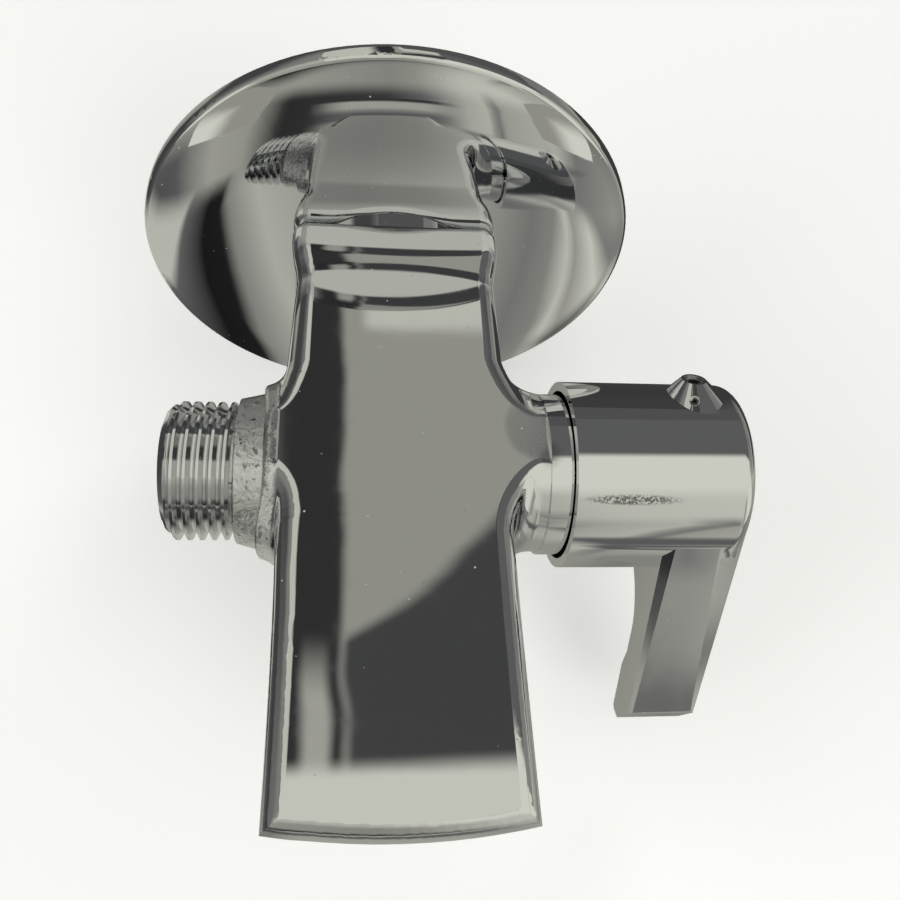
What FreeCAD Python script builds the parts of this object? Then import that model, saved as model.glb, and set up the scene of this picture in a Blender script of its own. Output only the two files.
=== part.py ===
# Wall-mounted angle valve with a flat spout, a threaded side outlet and a lever.
# The row frame: origin on the inlet axis in the wall plane, +Y into the wall,
# +X towards the lever, +Z up. All sizes are millimetres or degrees.
import FreeCAD
import Part
import Sketcher
import math
import os

V = FreeCAD.Vector
doc = FreeCAD.newDocument("AngleValve")
sheet = doc.addObject("Spreadsheet::Sheet", "Sizes")

# Driving dimensions: alias, value
SIZES = [
    # pipe thread, half inch
    ("threadRadius", 10.478),
    ("threadLead", 1.4),
    # casting, plan
    ("neckY", -6.6),
    ("collarHalf", 16.9),
    ("collarEndY", -9.0),
    ("waistHalf", 15.95),
    ("waistY", -18.0),
    ("flareStartY", -64.0),
    ("tipHalf", 16.85),
    ("tipY", -99.6),
    ("tipBow", 1.5),
    ("cutReach", 130.0),
    ("tipSlope", 10.0),
    # casting, side
    ("bodyHalfHeight", 11.54),
    ("collarRise", 0.9),
    ("bendStartY", -73.0),
    ("tipTop", 9.45),
    ("bellyEndY", -64.0),
    ("bellyRiseY", -82.0),
    ("tipBottom", -7.0),
    # arms
    ("portY", -46.4),
    ("armRadius", 12.15),
    ("armEndRight", 21.85),
    ("armEndLeft", -19.45),
    ("castNeckRadius", 11.0),
    ("castNeckEnd", -23.45),
    ("outletEnd", -34.45),
    ("blendRight", 4.6),
    ("blendLeft", 2.9),
    ("edgeRound", 3.0),
    ("bottomRound", 3.0),
    ("neckRound", 1.6),
    ("endRound", 0.9),
    # inlet
    ("inletEnd", 13.0),
    ("inletBoreRadius", 7.4),
    ("inletBoreEndY", -24.0),
    ("feedRadius", 4.5),
    ("feedX", 3.6),
    # valve chamber
    ("chamberRadius", 9.8),
    ("seatX", -3.0),
    ("tappingDepth", 9.5),
    ("portOffset", 4.2),
    ("portRadius", 2.8),
    ("outletBoreRadius", 7.2),
    ("outletBoreEnd", -16.0),
    ("spoutDuctX", -8.8),
    ("spoutDuctRadius", 3.3),
    ("ductHead", 0.8),
    # spout waterway and mouth
    ("ductStartY", -60.0),
    ("ductEndY", -95.0),
    ("ductHalf", 12.5),
    ("ductBow", 1.0),
    ("ductTop", 6.4),
    ("ductBottom", -4.2),
    ("mouthY", -84.3),
    ("mouthBossRadius", 13.0),
    ("mouthBossBottom", -13.2),
    ("mouthBoreRadius", 11.5),
    ("mouthBoreTop", -6.6),
    ("mouthThroatRadius", 9.2),
    # wall flange
    ("flangeRadius", 42.0),
    ("flangeRimDepth", 2.4),
    ("flangeHoleRadius", 14.8),
    ("flangeLip", 1.1),
    ("flangeShiftX", -0.4),
    ("flangeShiftZ", -1.0),
    ("flangeSheet", 0.8),
    ("shoulderRadius", 31.0),
    ("shoulderDepth", 5.75),
    ("shoulderSag", 0.62),
    ("flangeCorner", 1.0),
    # headwork
    ("fitGap", 0.05),
    ("runGap", 0.06),
    ("sealThick", 1.5),
    ("keyHalf", 1.5),
    ("slotLow", 0.6),
    ("slotHigh", 4.4),
    ("slotDepth", 1.2),
    ("guideLength", 3.6),
    ("ringLand", 0.8),
    ("ringGroove", 1.9),
    ("footRadius", 7.6),
    ("footWeb", 0.8),
    ("fluteDepth", 0.35),
    ("fluteCount", 20),
    ("clipOpening", 5.0),
    ("discThick", 3.0),
    ("discRadius", 7.9),
    ("skirtBoreRadius", 8.0),
    ("skirtRadius", 8.8),
    ("footThick", 3.6),
    ("washerThick", 0.6),
    ("windowWidth", 9.0),
    ("lipThick", 0.8),
    ("headFlangeThick", 2.5),
    ("headFlangeRadius", 11.7),
    ("headNeckRadius", 7.0),
    ("headNeckEnd", 34.5),
    ("ringSection", 1.5),
    ("ringOneX", 26.0),
    ("ringTwoX", 30.0),
    ("spindleRadius", 4.4),
    ("spindleEnd", 46.5),
    ("splineRadius", 4.0),
    ("splineStart", 36.0),
    ("clipThick", 0.8),
    ("clipGrooveRadius", 3.5),
    ("clipRadius", 5.6),
    # trim collar
    ("collarRadius", 12.6),
    ("collarWall", 0.7),
    ("collarEnd", 27.85),
    # handle
    ("handleRadius", 14.6),
    ("handleStart", 25.25),
    ("handleEnd", 52.35),
    ("handleRound", 2.2),
    ("skirtWall", 1.4),
    ("skirtDepth", 12.6),
    ("leverTilt", 31.9),
    ("leverLeft", 39.85),
    ("leverTipRight", 50.8),
    ("leverFront", -13.9),
    ("leverFaceEnd", 38.2),
    ("leverReach", 43.8),
    ("leverFootFront", -9.2),
    ("leverFootBack", -6.4),
    ("leverKink", 33.9),
    ("leverWaistBack", -7.5),
    ("leverWaistEnd", 30.0),
    ("leverRootEnd", 24.5),
    ("leverRootBack", 1.5),
    ("leverRootTop", 13.5),
    ("leverRootSag", 2.1),
    ("leverEndRound", 0.9),
    ("bevelLeftWide", 1.7),
    ("bevelLeftDeep", 0.8),
    ("bevelLeftTip", 0.35),
    ("bevelRightWide", 4.3),
    ("bevelRightDeep", 1.0),
    ("bevelRightTip", 0.05),
    ("barrelWall", 2.2),
    ("hubRadius", 7.4),
    ("hubStart", 35.8),
    ("handleWall", 3.0),
    ("screwX", 44.5),
    ("bossRise", 2.4),
    ("bossTopRadius", 1.9),
    ("bossFootRadius", 5.3),
    ("bossFootShift", 0.9),
    ("bossSink", 1.2),
    ("columnRadius", 3.5),
    ("screwRadius", 1.5),
    ("screwRecess", 0.35),
    ("screwSocket", 0.87),
    ("screwSocketDepth", 1.6),
    # aerator
    ("aeratorRimRadius", 12.4),
    ("aeratorRimDepth", 3.4),
    ("aeratorWall", 1.9),
    ("aeratorWasherThick", 1.8),
    ("aeratorLip", 0.8),
    ("aeratorBevel", 0.6),
    ("insertThick", 3.0),
    ("insertHole", 0.9),
    ("insertStep", 2.7),
    ("screenHole", 0.7),
    ("screenStep", 1.95),
    ("screenThick", 0.6),
]
for row, (alias, value) in enumerate(SIZES, 1):
    sheet.set("A%d" % row, alias)
    sheet.set("B%d" % row, repr(value))
    sheet.setAlias("B%d" % row, alias)
doc.recompute()


def number(text):
    """Value of an expression on the sheet."""
    return float(sheet.evalExpression(full(text)))


def full(text):
    """Write the sheet's name before each alias in an expression."""
    out = ""
    word = ""
    for sign in str(text) + " ":
        if sign.isalnum():
            word += sign
            continue
        out += "Sizes." + word if word in ALIASES else word
        word = ""
        out += sign
    return out.strip()


ALIASES = {alias for alias, value in SIZES}


def new_body(label):
    body = doc.addObject("PartDesign::Body", label)
    body.Label = label
    return body


def origin_feature(body, role):
    return [f for f in body.Origin.OriginFeatures if f.Role == role][0]


def sketch(body, name, role, loops, shift=None):
    """Closed outlines on an origin plane. A point is (u, v) or (u, v, sagitta),
    where the sagitta bows the stretch that starts there to the left."""
    sk = body.newObject("Sketcher::SketchObject", body.Label + "_" + name)
    sk.AttachmentSupport = [(origin_feature(body, role), "")]
    sk.MapMode = "FlatFace"
    if shift is not None:
        sk.setExpression("AttachmentOffset.Base.z", full(shift))
    for loop in loops:
        first = sk.GeometryCount
        count = len(loop)
        points = [V(number(p[0]), number(p[1]), 0) for p in loop]
        for i, item in enumerate(loop):
            a = points[i]
            b = points[(i + 1) % count]
            if len(item) == 2:
                sk.addGeometry(Part.LineSegment(a, b), False)
                continue
            sag = number(item[2])
            chord = b - a
            left = V(-chord.y, chord.x, 0).normalize()
            radius = (chord.Length ** 2 / 4 + sag ** 2) / (2 * abs(sag))
            centre = (a + b) * 0.5 + left * (sag - math.copysign(radius, sag))
            start, stop = (b, a) if sag > 0 else (a, b)
            low = math.atan2(start.y - centre.y, start.x - centre.x)
            high = math.atan2(stop.y - centre.y, stop.x - centre.x)
            if high < low:
                high += 2 * math.pi
            circle = Part.Circle(centre, V(0, 0, 1), radius)
            sk.addGeometry(Part.ArcOfCircle(circle, low, high), False)
        ends = {i: (2, 1) if len(p) == 3 and number(p[2]) > 0 else (1, 2) for i, p in enumerate(loop)}
        for i in range(count):
            after = (i + 1) % count
            sk.addConstraint(Sketcher.Constraint(
                "Coincident", first + i, ends[i][1], first + after, ends[after][0]))
        for i, item in enumerate(loop):
            where = (first + i, ends[i][0])
            for kind, text in (("DistanceX", item[0]), ("DistanceY", item[1])):
                c = sk.addConstraint(Sketcher.Constraint(kind, -1, 1, *where, number(text)))
                sk.setExpression("Constraints[%d]" % c, full(text))
            if len(item) == 3:
                other = loop[(i + 1) % count]
                span = "((%s) - (%s))^2 + ((%s) - (%s))^2" % (other[0], item[0], other[1], item[1])
                bow = "((%s) / 4 + (%s)^2) / (2 * abs(%s))" % (span, item[2], item[2])
                c = sk.addConstraint(Sketcher.Constraint("Radius", first + i, number(bow)))
                sk.setExpression("Constraints[%d]" % c, full(bow))
    doc.recompute()
    return sk


def ring_sketch(body, name, role, centre, radius, shift=None):
    """One circle on an origin plane."""
    sk = body.newObject("Sketcher::SketchObject", body.Label + "_" + name)
    sk.AttachmentSupport = [(origin_feature(body, role), "")]
    sk.MapMode = "FlatFace"
    if shift is not None:
        sk.setExpression("AttachmentOffset.Base.z", full(shift))
    middle = V(number(centre[0]), number(centre[1]), 0)
    sk.addGeometry(Part.Circle(middle, V(0, 0, 1), number(radius)), False)
    for kind, text in (("DistanceX", centre[0]), ("DistanceY", centre[1])):
        if number(text) == 0 and str(text) == "0":
            onto = "PointOnObject"
            sk.addConstraint(Sketcher.Constraint(onto, 0, 3, -2 if kind == "DistanceX" else -1))
            continue
        c = sk.addConstraint(Sketcher.Constraint(kind, -1, 1, 0, 3, number(text)))
        sk.setExpression("Constraints[%d]" % c, full(text))
    c = sk.addConstraint(Sketcher.Constraint("Radius", 0, number(radius)))
    sk.setExpression("Constraints[%d]" % c, full(radius))
    doc.recompute()
    return sk


def feature(body, kind, name, profile, **settings):
    """Pad, Pocket, Revolution or Groove. Text settings are sheet expressions."""
    item = body.newObject("PartDesign::" + kind, body.Label + "_" + name)
    item.Profile = profile
    for key, value in settings.items():
        if isinstance(value, str) and key in ("Length", "Angle", "Radius"):
            item.setExpression(key, full(value))
        else:
            setattr(item, key, value)
    doc.recompute()
    return item


def pad(body, name, profile, length, **settings):
    return feature(body, "Pad", name, profile, Length=length, **settings)


def pocket(body, name, profile, length, **settings):
    before = body.Shape.Volume
    item = feature(body, "Pocket", name, profile, Length=length, **settings)
    if body.Shape.Volume > before - 1e-6:
        raise RuntimeError("nothing cut by " + item.Name)
    return item


def revolve(body, name, profile, kind="Revolution"):
    """Turn a profile round the body's own X axis, as solid or as a groove."""
    item = body.newObject("PartDesign::" + kind, body.Label + "_" + name)
    item.Profile = profile
    item.ReferenceAxis = (profile, ["H_Axis"])
    item.Angle = 360
    doc.recompute()
    return item


def rounded(body, name, radius, test, kind="Fillet", size="Radius"):
    """Fillet or chamfer the edges of the body's tip that pass a test."""
    base = body.Tip
    names = ["Edge%d" % (i + 1) for i, e in enumerate(base.Shape.Edges) if test(e)]
    if not names:
        raise RuntimeError("no edges for " + name)
    item = body.newObject("PartDesign::" + kind, body.Label + "_" + name)
    item.Base = (base, names)
    item.setExpression(size, full(radius))
    doc.recompute()
    return item


def middle(edge):
    return edge.valueAt((edge.FirstParameter + edge.LastParameter) / 2)


def on_port(body):
    body.setExpression("Placement.Base.y", full("portY"))


def tangent_sag(along, across):
    """Sagitta of an arc whose chord runs so far along and across its first tangent."""
    chord = "sqrt((%s)^2 + (%s)^2)" % (along, across)
    return "(%s) / 2 * abs(%s) / (%s + abs(%s))" % (chord, across, chord, along)


# Valve body: plan outline padded tall, round side arms blended into it, then
# everything cut to the side outline and the arms cut to length
casting = new_body("valve_body")
half_x = "((collarHalf - waistHalf) / 2)"
half_y = "((collarEndY - waistY) / 2)"
side_sag = tangent_sag(half_y, half_x)
swing_x = "(waistHalf + %s)" % half_x
swing_y = "(waistY + %s)" % half_y
flare_sag = tangent_sag("(flareStartY - tipY)", "(tipHalf - waistHalf)")
plan = sketch(casting, "plan", "XY_Plane", [[
    ("-collarHalf", "neckY"),
    ("-collarHalf", "collarEndY", "-(%s)" % side_sag),
    ("-%s" % swing_x, swing_y, side_sag),
    ("-waistHalf", "waistY"),
    ("-waistHalf", "flareStartY", flare_sag),
    ("-tipHalf", "tipY"),
    ("-tipHalf", "tipY - 2 * tipBow"),
    ("tipHalf", "tipY - 2 * tipBow"),
    ("tipHalf", "tipY", flare_sag),
    ("waistHalf", "flareStartY"),
    ("waistHalf", "waistY", side_sag),
    (swing_x, swing_y, "-(%s)" % side_sag),
    ("collarHalf", "collarEndY"),
    ("collarHalf", "neckY"),
]])
pad(casting, "block", plan, "3 * armRadius", Midplane=True)
arms = ring_sketch(casting, "arms", "YZ_Plane", ("portY", "0"), "armRadius")
pad(casting, "arm_bar", arms, "2 * (armEndRight + 2 * blendRight)", Midplane=True)


def at_arm_root(edge):
    p = middle(edge)
    off = math.hypot(p.y - number("portY"), p.z)
    inside = number("waistHalf") - 0.5 < abs(p.x) < number("tipHalf") + 0.5
    return inside and abs(off - number("armRadius")) < 0.05


rounded(casting, "blend_right", "blendRight", lambda e: at_arm_root(e) and middle(e).x > 0)
rounded(casting, "blend_left", "blendLeft", lambda e: at_arm_root(e) and middle(e).x < 0)

# Tip face, bowed in plan and sloping back under the spout
face = sketch(casting, "tip_face", "XY_Plane", [[
    ("-2 * tipHalf", "-6 * tipBow"),
    ("2 * tipHalf", "-6 * tipBow"),
    ("2 * tipHalf", "3 * tipBow", "4 * tipBow"),
    ("-2 * tipHalf", "3 * tipBow"),
]])
face.setExpression("AttachmentOffset", "placement(vector(0; %s; %s); rotation(vector(1; 0; 0); %s))"
                   % (full("tipY"), full("bodyHalfHeight"), full("tipSlope")))
doc.recompute()
pocket(casting, "tip_face_cut", face, "5 * armRadius", Midplane=True)
rise = "(bodyHalfHeight + collarRise)"
swing_z = "(bodyHalfHeight + collarRise / 2)"
rise_sag = tangent_sag(half_y, "(collarRise / 2)")
end_y = "(tipY - 2 * tipBow)"
bend_sag = tangent_sag("(bendStartY - %s)" % end_y, "(bodyHalfHeight - tipTop)")
belly_y = "((bellyEndY - bellyRiseY) / 2)"
belly_z = "((tipBottom + bodyHalfHeight) / 2)"
belly_sag = tangent_sag(belly_y, belly_z)
around = [("-cutReach", "-cutReach"), ("cutReach", "-cutReach"),
          ("cutReach", "cutReach"), ("-cutReach", "cutReach")]
side = sketch(casting, "side", "YZ_Plane", [around, [
    ("neckY", "-%s" % rise),
    ("neckY", rise),
    ("collarEndY", rise, "-(%s)" % rise_sag),
    (swing_y, swing_z, rise_sag),
    ("waistY", "bodyHalfHeight"),
    ("bendStartY", "bodyHalfHeight", "-(%s)" % bend_sag),
    (end_y, "tipTop"),
    (end_y, "tipBottom"),
    ("bellyRiseY", "tipBottom", belly_sag),
    ("(bellyRiseY + %s)" % belly_y, "(tipBottom - %s)" % belly_z, "-(%s)" % belly_sag),
    ("bellyEndY", "-bodyHalfHeight"),
    ("waistY", "-bodyHalfHeight", rise_sag),
    (swing_y, "-%s" % swing_z, "-(%s)" % rise_sag),
    ("collarEndY", "-%s" % rise),
]])
pocket(casting, "side_trim", side, "cutReach", Midplane=True)


def on_rim(edge):
    """Long edges round the flat top and bottom, arms with them."""
    m = middle(edge)
    across = edge.BoundBox.YLength < 1e-3
    half = number("bodyHalfHeight / 2")
    return edge.BoundBox.ZLength < half and abs(m.z) > half and not across


def beside_top(edge):
    return on_rim(edge) and middle(edge).z > 0


rounded(casting, "top_round", "edgeRound", beside_top)
rounded(casting, "bottom_round", "bottomRound", lambda e: on_rim(e) and middle(e).z < 0)
cut_right = sketch(casting, "beyond_right", "YZ_Plane", [around], "armEndRight")
pocket(casting, "end_right", cut_right, "cutReach", Reversed=True)
cut_left = sketch(casting, "beyond_left", "YZ_Plane", [around], "armEndLeft")
pocket(casting, "end_left", cut_left, "cutReach")


def on_end(edge, x, reach):
    """Edges of an arm's end face at x, no further from the port axis than reach."""
    flat_in_x = edge.BoundBox.XLength < 1e-3 and abs(middle(edge).x - x) < 1e-3
    return flat_in_x and math.hypot(middle(edge).y - number("portY"), middle(edge).z) < reach


def on_neck_end(edge):
    return edge.BoundBox.YLength < 1e-3 and abs(middle(edge).y - number("neckY")) < 1e-3


rounded(casting, "neck_round", "neckRound", on_neck_end)
rounded(casting, "arm_end_left", "endRound",
        lambda e: on_end(e, number("armEndLeft"), number("2 * armRadius")))

# Left outlet: cast neck, then the plain bar that carries the thread
neck_bar = ring_sketch(casting, "cast_neck", "YZ_Plane", ("portY", "0"), "castNeckRadius", "armEndLeft")
pad(casting, "cast_neck_bar", neck_bar, "armEndLeft - castNeckEnd", Reversed=True)
outlet = ring_sketch(casting, "outlet", "YZ_Plane", ("portY", "0"), "threadRadius", "castNeckEnd")
pad(casting, "outlet_bar", outlet, "castNeckEnd - outletEnd", Reversed=True)
rounded(casting, "outlet_lead", "threadLead", lambda e: on_end(e, number("outletEnd"), number("armRadius")),
        "Chamfer", "Size")
# Wall inlet: cast neck up to the wall plane, then the plain bar that carries the thread
inlet_neck = ring_sketch(casting, "inlet_neck", "XZ_Plane", ("0", "0"), "castNeckRadius")
pad(casting, "inlet_neck_bar", inlet_neck, "-neckY")
inlet = ring_sketch(casting, "inlet", "XZ_Plane", ("0", "0"), "threadRadius")
pad(casting, "inlet_bar", inlet, "inletEnd", Reversed=True)


def on_inlet_end(edge):
    return edge.BoundBox.YLength < 1e-3 and abs(middle(edge).y - number("inletEnd")) < 1e-3


rounded(casting, "inlet_lead", "threadLead", on_inlet_end, "Chamfer", "Size")
# Boss for the mouthpiece under the tip
mouth = ring_sketch(casting, "mouth", "XY_Plane", ("0", "mouthY"), "mouthBossRadius", "mouthBossBottom")
pad(casting, "mouth_boss", mouth, "tipBottom + 2 - mouthBossBottom")

# Waterways
bore = ring_sketch(casting, "inlet_bore", "XZ_Plane", ("0", "0"), "inletBoreRadius", "-inletEnd")
pocket(casting, "inlet_bore_cut", bore, "inletEnd - inletBoreEndY", Reversed=True)
feed = ring_sketch(casting, "feed", "XZ_Plane", ("feedX", "0"), "feedRadius", "-inletBoreEndY - 1")
pocket(casting, "feed_cut", feed, "inletBoreEndY + 1 - portY", Reversed=True)
tapping = ring_sketch(casting, "tapping", "YZ_Plane", ("portY", "0"), "threadRadius + fitGap", "armEndRight")
pocket(casting, "tapping_cut", tapping, "tappingDepth")
chamber = ring_sketch(casting, "chamber", "YZ_Plane", ("portY", "0"), "chamberRadius", "armEndRight")
pocket(casting, "chamber_cut", chamber, "armEndRight - seatX")
side_bore = ring_sketch(casting, "side_bore", "YZ_Plane", ("portY", "0"), "outletBoreRadius", "outletEnd")
pocket(casting, "side_bore_cut", side_bore, "outletBoreEnd - outletEnd", Reversed=True)
side_port = ring_sketch(casting, "side_port", "YZ_Plane", ("portY + portOffset", "0"), "portRadius", "seatX")
pocket(casting, "side_port_cut", side_port, "seatX - outletBoreEnd + 1")
spout_port = ring_sketch(casting, "spout_port", "YZ_Plane",
                         ("portY - portOffset", "0"), "portRadius", "seatX")
pocket(casting, "spout_port_cut", spout_port, "seatX - spoutDuctX")
duct = ring_sketch(casting, "spout_duct", "XZ_Plane", ("spoutDuctX", "0"), "spoutDuctRadius",
                   "portOffset - portY - portRadius - ductHead")
pocket(casting, "spout_duct_cut", duct, "portY - portOffset + portRadius + ductHead - ductStartY + 1",
       Reversed=True)
hall = sketch(casting, "hall", "XY_Plane", [[
    ("-ductHalf", "ductStartY"),
    ("-ductHalf", "ductEndY", "-ductBow"),
    ("ductHalf", "ductEndY"),
    ("ductHalf", "ductStartY"),
]], "ductBottom")
pocket(casting, "hall_cut", hall, "ductTop - ductBottom", Reversed=True)
throat = ring_sketch(casting, "throat", "XY_Plane", ("0", "mouthY"), "mouthThroatRadius", "mouthBossBottom")
pocket(casting, "throat_cut", throat, "ductBottom + 1 - mouthBossBottom", Reversed=True)
mouth_bore = ring_sketch(casting, "mouth_bore", "XY_Plane",
                         ("0", "mouthY"), "mouthBoreRadius", "mouthBossBottom")
pocket(casting, "mouth_bore_cut", mouth_bore, "mouthBoreTop - mouthBossBottom", Reversed=True)


def spun(label, loops, axis="port"):
    """A turned piece. Its outline is (distance along its axis, radius)."""
    body = new_body(label)
    revolve(body, "turned", sketch(body, "outline", "XY_Plane", loops))
    if axis == "port":
        on_port(body)
    elif axis == "inlet":
        body.Placement = FreeCAD.Placement(V(), FreeCAD.Rotation(V(0, 0, 1), 90))
    elif axis == "mouth":
        body.Placement = FreeCAD.Placement(V(), FreeCAD.Rotation(V(0, 1, 0), 90))
        body.setExpression("Placement.Base.y", full("mouthY"))
    return body


def ring(label, centre_x, centre_radius, tube_radius):
    """An O-ring round the port axis: one circle, turned."""
    body = new_body(label)
    sk = ring_sketch(body, "section", "XY_Plane", (centre_x, centre_radius), tube_radius)
    revolve(body, "turned", sk)
    on_port(body)
    return body


def across(body, name, x_low, x_high, y_low, y_high, cut=True, reach="80"):
    """A rectangle in plan, cut through or padded across the height."""
    sk = sketch(body, name, "XY_Plane", [[
        (x_low, y_low), (x_high, y_low), (x_high, y_high), (x_low, y_high)]])
    if cut:
        return pocket(body, name + "_cut", sk, reach, Midplane=True)
    return pad(body, name + "_pad", sk, reach, Midplane=True)


def hexagon_points(u, v, radius):
    """Corners of a hexagon round a centre."""
    corners = (("1", "0"), ("0.5", "sqrt(3) / 2"), ("-0.5", "sqrt(3) / 2"),
               ("-1", "0"), ("-0.5", "-sqrt(3) / 2"), ("0.5", "-sqrt(3) / 2"))
    return [("%s + %s * %s" % (u, radius, a), "%s + %s * %s" % (v, radius, b)) for a, b in corners]


def drilled(body, name, centre, radius, x_from, length, forward=True):
    """A round hole along the port axis, from x_from."""
    sk = ring_sketch(body, name, "YZ_Plane", centre, radius, x_from)
    return pocket(body, name + "_cut", sk, length, Reversed=forward)


# Wall flange: pressed dome, flatter inside its shoulder, with a short outer wall
def dome():
    along = "(shoulderRadius - flangeHoleRadius - flangeLip)"
    rise_x = "(-shoulderDepth - neckY)"
    return tangent_sag(along, rise_x)


flange = spun("wall_flange", [[
    ("neckY + flangeLip", "flangeHoleRadius", "flangeLip * 0.25"),
    ("neckY", "flangeHoleRadius + flangeLip", dome()),
    ("-shoulderDepth", "shoulderRadius", "shoulderSag"),
    ("-flangeRimDepth", "flangeRadius - flangeCorner", "flangeCorner * 0.2"),
    ("flangeCorner - flangeRimDepth", "flangeRadius"),
    ("0", "flangeRadius"),
    ("0", "flangeRadius - flangeSheet"),
    ("flangeCorner - flangeRimDepth + flangeSheet / 3", "flangeRadius - flangeSheet"),
    ("flangeSheet - flangeRimDepth", "flangeRadius - flangeCorner - flangeSheet / 3", "-shoulderSag"),
    ("flangeSheet - shoulderDepth", "shoulderRadius", "-(%s)" % dome()),
    ("neckY + flangeSheet", "flangeHoleRadius + flangeLip"),
    ("neckY + flangeLip", "flangeHoleRadius + flangeSheet / 2"),
]], "inlet")
flange.setExpression("Placement.Base.x", full("flangeShiftX"))
flange.setExpression("Placement.Base.z", full("flangeShiftZ"))

# Headwork, from the seat outwards
seal_end = "(seatX + sealThick)"
fixed_end = "(seatX + sealThick + discThick)"
moving_end = "(seatX + sealThick + 2 * discThick)"
foot_end = "(seatX + sealThick + 2 * discThick + footThick)"
shoulder = "(seatX + sealThick + 2 * discThick + footThick + washerThick)"
guide_start = "(armEndRight - tappingDepth - guideLength)"
lip_end = "(armEndRight + lipThick)"
hex_end = "(armEndRight + lipThick + headFlangeThick)"
stem_bore = "(spindleRadius + runGap)"

seal = spun("seat_seal", [[
    ("seatX", "0"), (seal_end, "0"), (seal_end, "skirtRadius"), ("seatX", "skirtRadius")]])
drilled(seal, "side_port", ("portOffset", "0"), "portRadius", "seatX", "sealThick")
drilled(seal, "spout_port", ("-portOffset", "0"), "portRadius", "seatX", "sealThick")

fixed = spun("fixed_disc", [[
    (seal_end, "0"), (fixed_end, "0"), (fixed_end, "discRadius"), (seal_end, "discRadius")]])
across(fixed, "key", seal_end, fixed_end, "-keyHalf", "keyHalf", False, "2 * skirtRadius")
drilled(fixed, "side_port", ("portOffset", "0"), "portRadius", seal_end, "discThick")
drilled(fixed, "spout_port", ("-portOffset", "0"), "portRadius", seal_end, "discThick")

moving = spun("moving_disc", [[
    (fixed_end, "0"), (moving_end, "0"), (moving_end, "discRadius"), (fixed_end, "discRadius")]])
drilled(moving, "port", ("0", "-portOffset"), "portRadius", fixed_end, "discThick")
slot = sketch(moving, "slot", "YZ_Plane", [[
    ("-discRadius * 2", "slotLow"), ("discRadius * 2", "slotLow"),
    ("discRadius * 2", "slotHigh"), ("-discRadius * 2", "slotHigh")]], moving_end)
pocket(moving, "slot_cut", slot, "slotDepth")

housing = spun("cartridge_housing", [[
    (seal_end, "skirtBoreRadius"),
    (seal_end, "skirtRadius"),
    (guide_start, "skirtRadius"),
    (guide_start, "chamberRadius - fitGap"),
    ("%s + ringLand" % guide_start, "chamberRadius - fitGap"),
    ("%s + ringLand" % guide_start, "chamberRadius - ringSection"),
    ("%s + ringLand + ringGroove" % guide_start, "chamberRadius - ringSection"),
    ("%s + ringLand + ringGroove" % guide_start, "chamberRadius - fitGap"),
    ("armEndRight - tappingDepth + fitGap", "chamberRadius - fitGap"),
    ("armEndRight - tappingDepth + fitGap", "threadRadius"),
    (lip_end, "threadRadius"),
    (hex_end, "threadRadius"),
    (hex_end, "headNeckRadius"),
    ("headNeckEnd", "headNeckRadius"),
    ("headNeckEnd", stem_bore),
    (shoulder, stem_bore),
    (shoulder, "skirtBoreRadius"),
]])
hexagon = sketch(housing, "hexagon", "YZ_Plane", [hexagon_points("0", "0", "headFlangeRadius")], lip_end)
pad(housing, "hexagon_pad", hexagon, "headFlangeThick")
drilled(housing, "stem", ("0", "0"), stem_bore, "headNeckEnd", "headNeckEnd - %s" % shoulder, False)
across(housing, "windows", "%s + fitGap" % moving_end, foot_end, "-windowWidth / 2", "windowWidth / 2")
across(housing, "keyway", seal_end, "%s + fitGap" % fixed_end, "-keyHalf - fitGap", "keyHalf + fitGap")
ring("housing_o_ring", "%s + ringLand + ringGroove / 2" % guide_start,
     "chamberRadius - fitGap / 2 - ringSection / 2", "ringSection / 2 - fitGap / 2")

collar = spun("trim_collar", [[
    ("armEndRight", "threadRadius + 2 * fitGap"),
    ("armEndRight", "collarRadius"),
    ("collarEnd", "collarRadius"),
    ("collarEnd", "collarRadius - collarWall"),
    (lip_end, "collarRadius - collarWall"),
    (lip_end, "threadRadius + 2 * fitGap"),
]])
spun("thrust_washer", [[
    (foot_end, "spindleRadius + runGap"), (foot_end, "discRadius"),
    ("%s - runGap" % shoulder, "discRadius"), ("%s - runGap" % shoulder, "spindleRadius + runGap")]])

# Spindle with its foot, ring grooves and toothed end
groove = "spindleRadius + runGap / 2 - ringSection - fitGap"
half = "ringGroove / 2"
spindle = spun("spindle", [[
    (moving_end, "0"),
    (moving_end, "footRadius"),
    ("%s - runGap / 2" % foot_end, "footRadius"),
    ("%s - runGap / 2" % foot_end, "spindleRadius"),
    ("ringOneX - %s" % half, "spindleRadius"),
    ("ringOneX - %s" % half, groove),
    ("ringOneX + %s" % half, groove),
    ("ringOneX + %s" % half, "spindleRadius"),
    ("ringTwoX - %s" % half, "spindleRadius"),
    ("ringTwoX - %s" % half, groove),
    ("ringTwoX + %s" % half, groove),
    ("ringTwoX + %s" % half, "spindleRadius"),
    ("headNeckEnd + runGap", "spindleRadius"),
    ("headNeckEnd + runGap", "clipGrooveRadius"),
    ("headNeckEnd + 3 * runGap + clipThick", "clipGrooveRadius"),
    ("headNeckEnd + 3 * runGap + clipThick", "splineRadius"),
    ("spindleEnd", "splineRadius"),
    ("spindleEnd", "0"),
]])
notch = sketch(spindle, "notch", "YZ_Plane", [[
    ("-portRadius", "-footRadius * 2"), ("portRadius", "-footRadius * 2"),
    ("portRadius", "-portOffset", "-portRadius * 0.9"), ("-portRadius", "-portOffset")]], moving_end)
pocket(spindle, "notch_cut", notch, "footThick - footWeb", Reversed=True)
dog = sketch(spindle, "dog", "YZ_Plane", [[
    ("-footRadius * 0.8", "slotLow + fitGap"), ("footRadius * 0.8", "slotLow + fitGap"),
    ("footRadius * 0.8", "slotHigh - fitGap"), ("-footRadius * 0.8", "slotHigh - fitGap")]], moving_end)
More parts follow.
